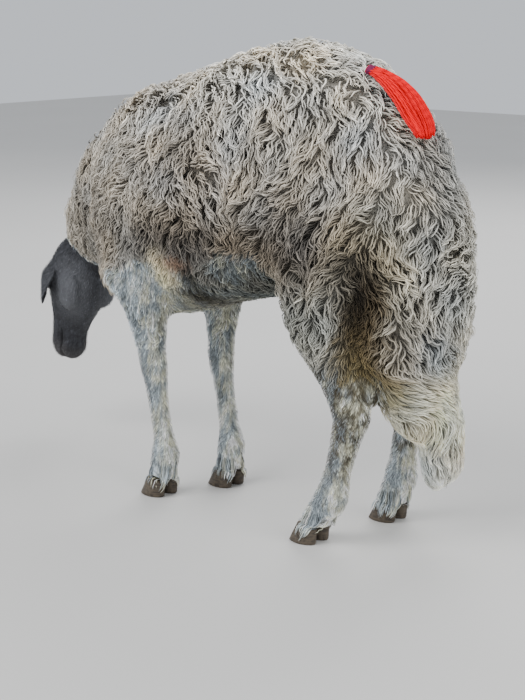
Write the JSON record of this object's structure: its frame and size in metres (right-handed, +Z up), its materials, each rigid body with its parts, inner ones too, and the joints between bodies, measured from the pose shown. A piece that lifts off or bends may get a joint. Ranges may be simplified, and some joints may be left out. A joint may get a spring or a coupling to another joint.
{
  "type": "sheep model",
  "caption": "Life-size standing sheep in short wool, fat-tailed, with an arched back, a lowered head and a red yarn tassel on the rump.",
  "frame": {"origin": "on the floor, under the middle of the whole model's box", "axes": "+Z up, -X the way the sheep faces, -Y its left side"},
  "size_m": [0.9924, 0.3526, 0.7425],
  "materials": {
    "wool": "short wavy wool, grey-brown with pale tips",
    "leg_hair": "short flat hair, mottled grey and white",
    "face_hair": "short flat hair, charcoal",
    "horn": "dull dark horn",
    "eye": "wet and shiny, amber with a dark level pupil",
    "red_yarn": "soft twisted yarn"
  },
  "bodies": {
    "root": {"claw_fore_left_inner": "horn", "claw_fore_left_outer": "horn", "claw_fore_right_inner": "horn", "claw_fore_right_outer": "horn", "claw_hind_left_inner": "horn", "claw_hind_left_outer": "horn", "claw_hind_right_inner": "horn", "claw_hind_right_outer": "horn", "ear_left": "face_hair", "ear_right": "face_hair", "eye_left": "eye", "eye_right": "eye", "foreleg_left_foot": "leg_hair", "foreleg_left_shank": "leg_hair", "foreleg_left_upper": "wool", "foreleg_right_foot": "leg_hair", "foreleg_right_shank": "leg_hair", "foreleg_right_upper": "wool", "head": "face_hair", "hindleg_left_foot": "leg_hair", "hindleg_left_shank": "leg_hair", "hindleg_left_upper": "wool", "hindleg_right_foot": "leg_hair", "hindleg_right_shank": "leg_hair", "hindleg_right_upper": "wool", "neck": "wool", "tail_lower": "wool", "tail_tip": "wool", "tail_upper": "wool", "tassel_knot": "red_yarn", "tassel_skirt": "red_yarn", "trunk": "wool"}
  },
  "joints": []
}
